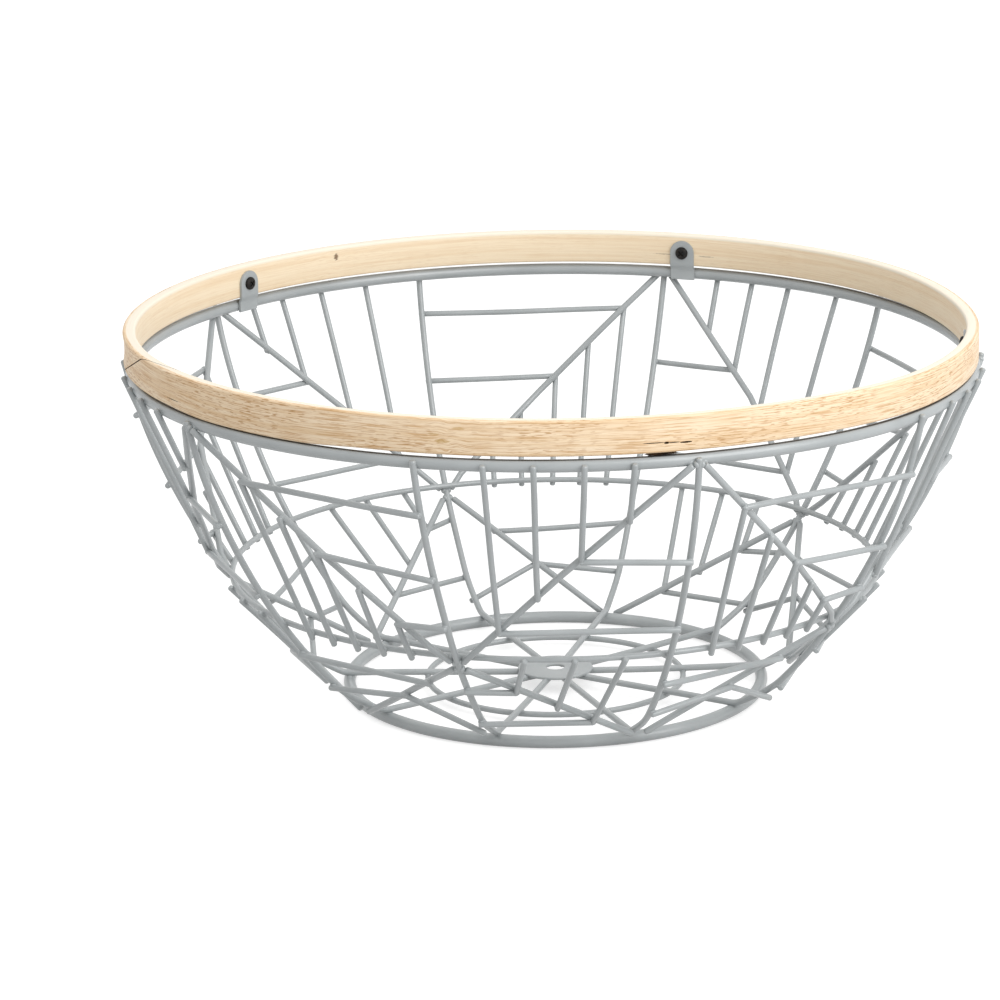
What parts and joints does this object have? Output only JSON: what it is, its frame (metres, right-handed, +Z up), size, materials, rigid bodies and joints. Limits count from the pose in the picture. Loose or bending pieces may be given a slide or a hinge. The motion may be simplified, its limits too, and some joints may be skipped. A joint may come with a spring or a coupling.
{
  "type": "wire bowl with a bamboo rim",
  "caption": "Round open bowl of welded grey wire in a leaf-like pattern, on a rod ring foot, with a flat bent bamboo hoop as its rim.",
  "frame": {"origin": "on the table under the middle of the bowl", "axes": "+Z up along the bowl's axis, -Y towards the viewer of the picture"},
  "size_m": [0.307, 0.3037, 0.1355],
  "materials": {
    "bamboo": "clear-lacquered pale bamboo",
    "grey_powder_coat": "semi-gloss light grey powder coat",
    "black_screw": "black"
  },
  "bodies": {
    "root": {"bamboo_hoop": "bamboo", "top_ring": "grey_powder_coat", "middle_ring": "grey_powder_coat", "bottom_ring": "grey_powder_coat", "base_ring": "grey_powder_coat", "base_disc": "grey_powder_coat", "node_upright_1": "grey_powder_coat", "node_upright_2": "grey_powder_coat", "node_upright_3": "grey_powder_coat", "node_upright_4": "grey_powder_coat", "node_upright_5": "grey_powder_coat", "apex_upright_1": "grey_powder_coat", "apex_upright_2": "grey_powder_coat", "apex_upright_3": "grey_powder_coat", "apex_upright_4": "grey_powder_coat", "apex_upright_5": "grey_powder_coat", "right_leaf_1": "grey_powder_coat", "right_leaf_2": "grey_powder_coat", "right_leaf_3": "grey_powder_coat", "right_leaf_4": "grey_powder_coat", "right_leaf_5": "grey_powder_coat", "left_leaf_1": "grey_powder_coat", "left_leaf_2": "grey_powder_coat", "left_leaf_3": "grey_powder_coat", "left_leaf_4": "grey_powder_coat", "left_leaf_5": "grey_powder_coat", "lower_right_leaf_1": "grey_powder_coat", "lower_right_leaf_2": "grey_powder_coat", "lower_right_leaf_3": "grey_powder_coat", "lower_right_leaf_4": "grey_powder_coat", "lower_right_leaf_5": "grey_powder_coat", "lower_left_leaf_1": "grey_powder_coat", "lower_left_leaf_2": "grey_powder_coat", "lower_left_leaf_3": "grey_powder_coat", "lower_left_leaf_4": "grey_powder_coat", "lower_left_leaf_5": "grey_powder_coat", "tab_1": "grey_powder_coat", "tab_2": "grey_powder_coat", "tab_3": "grey_powder_coat", "tab_4": "grey_powder_coat", "tab_5": "grey_powder_coat", "screw_1": "black_screw", "screw_2": "black_screw", "screw_3": "black_screw", "screw_4": "black_screw", "screw_5": "black_screw"}
  },
  "joints": []
}
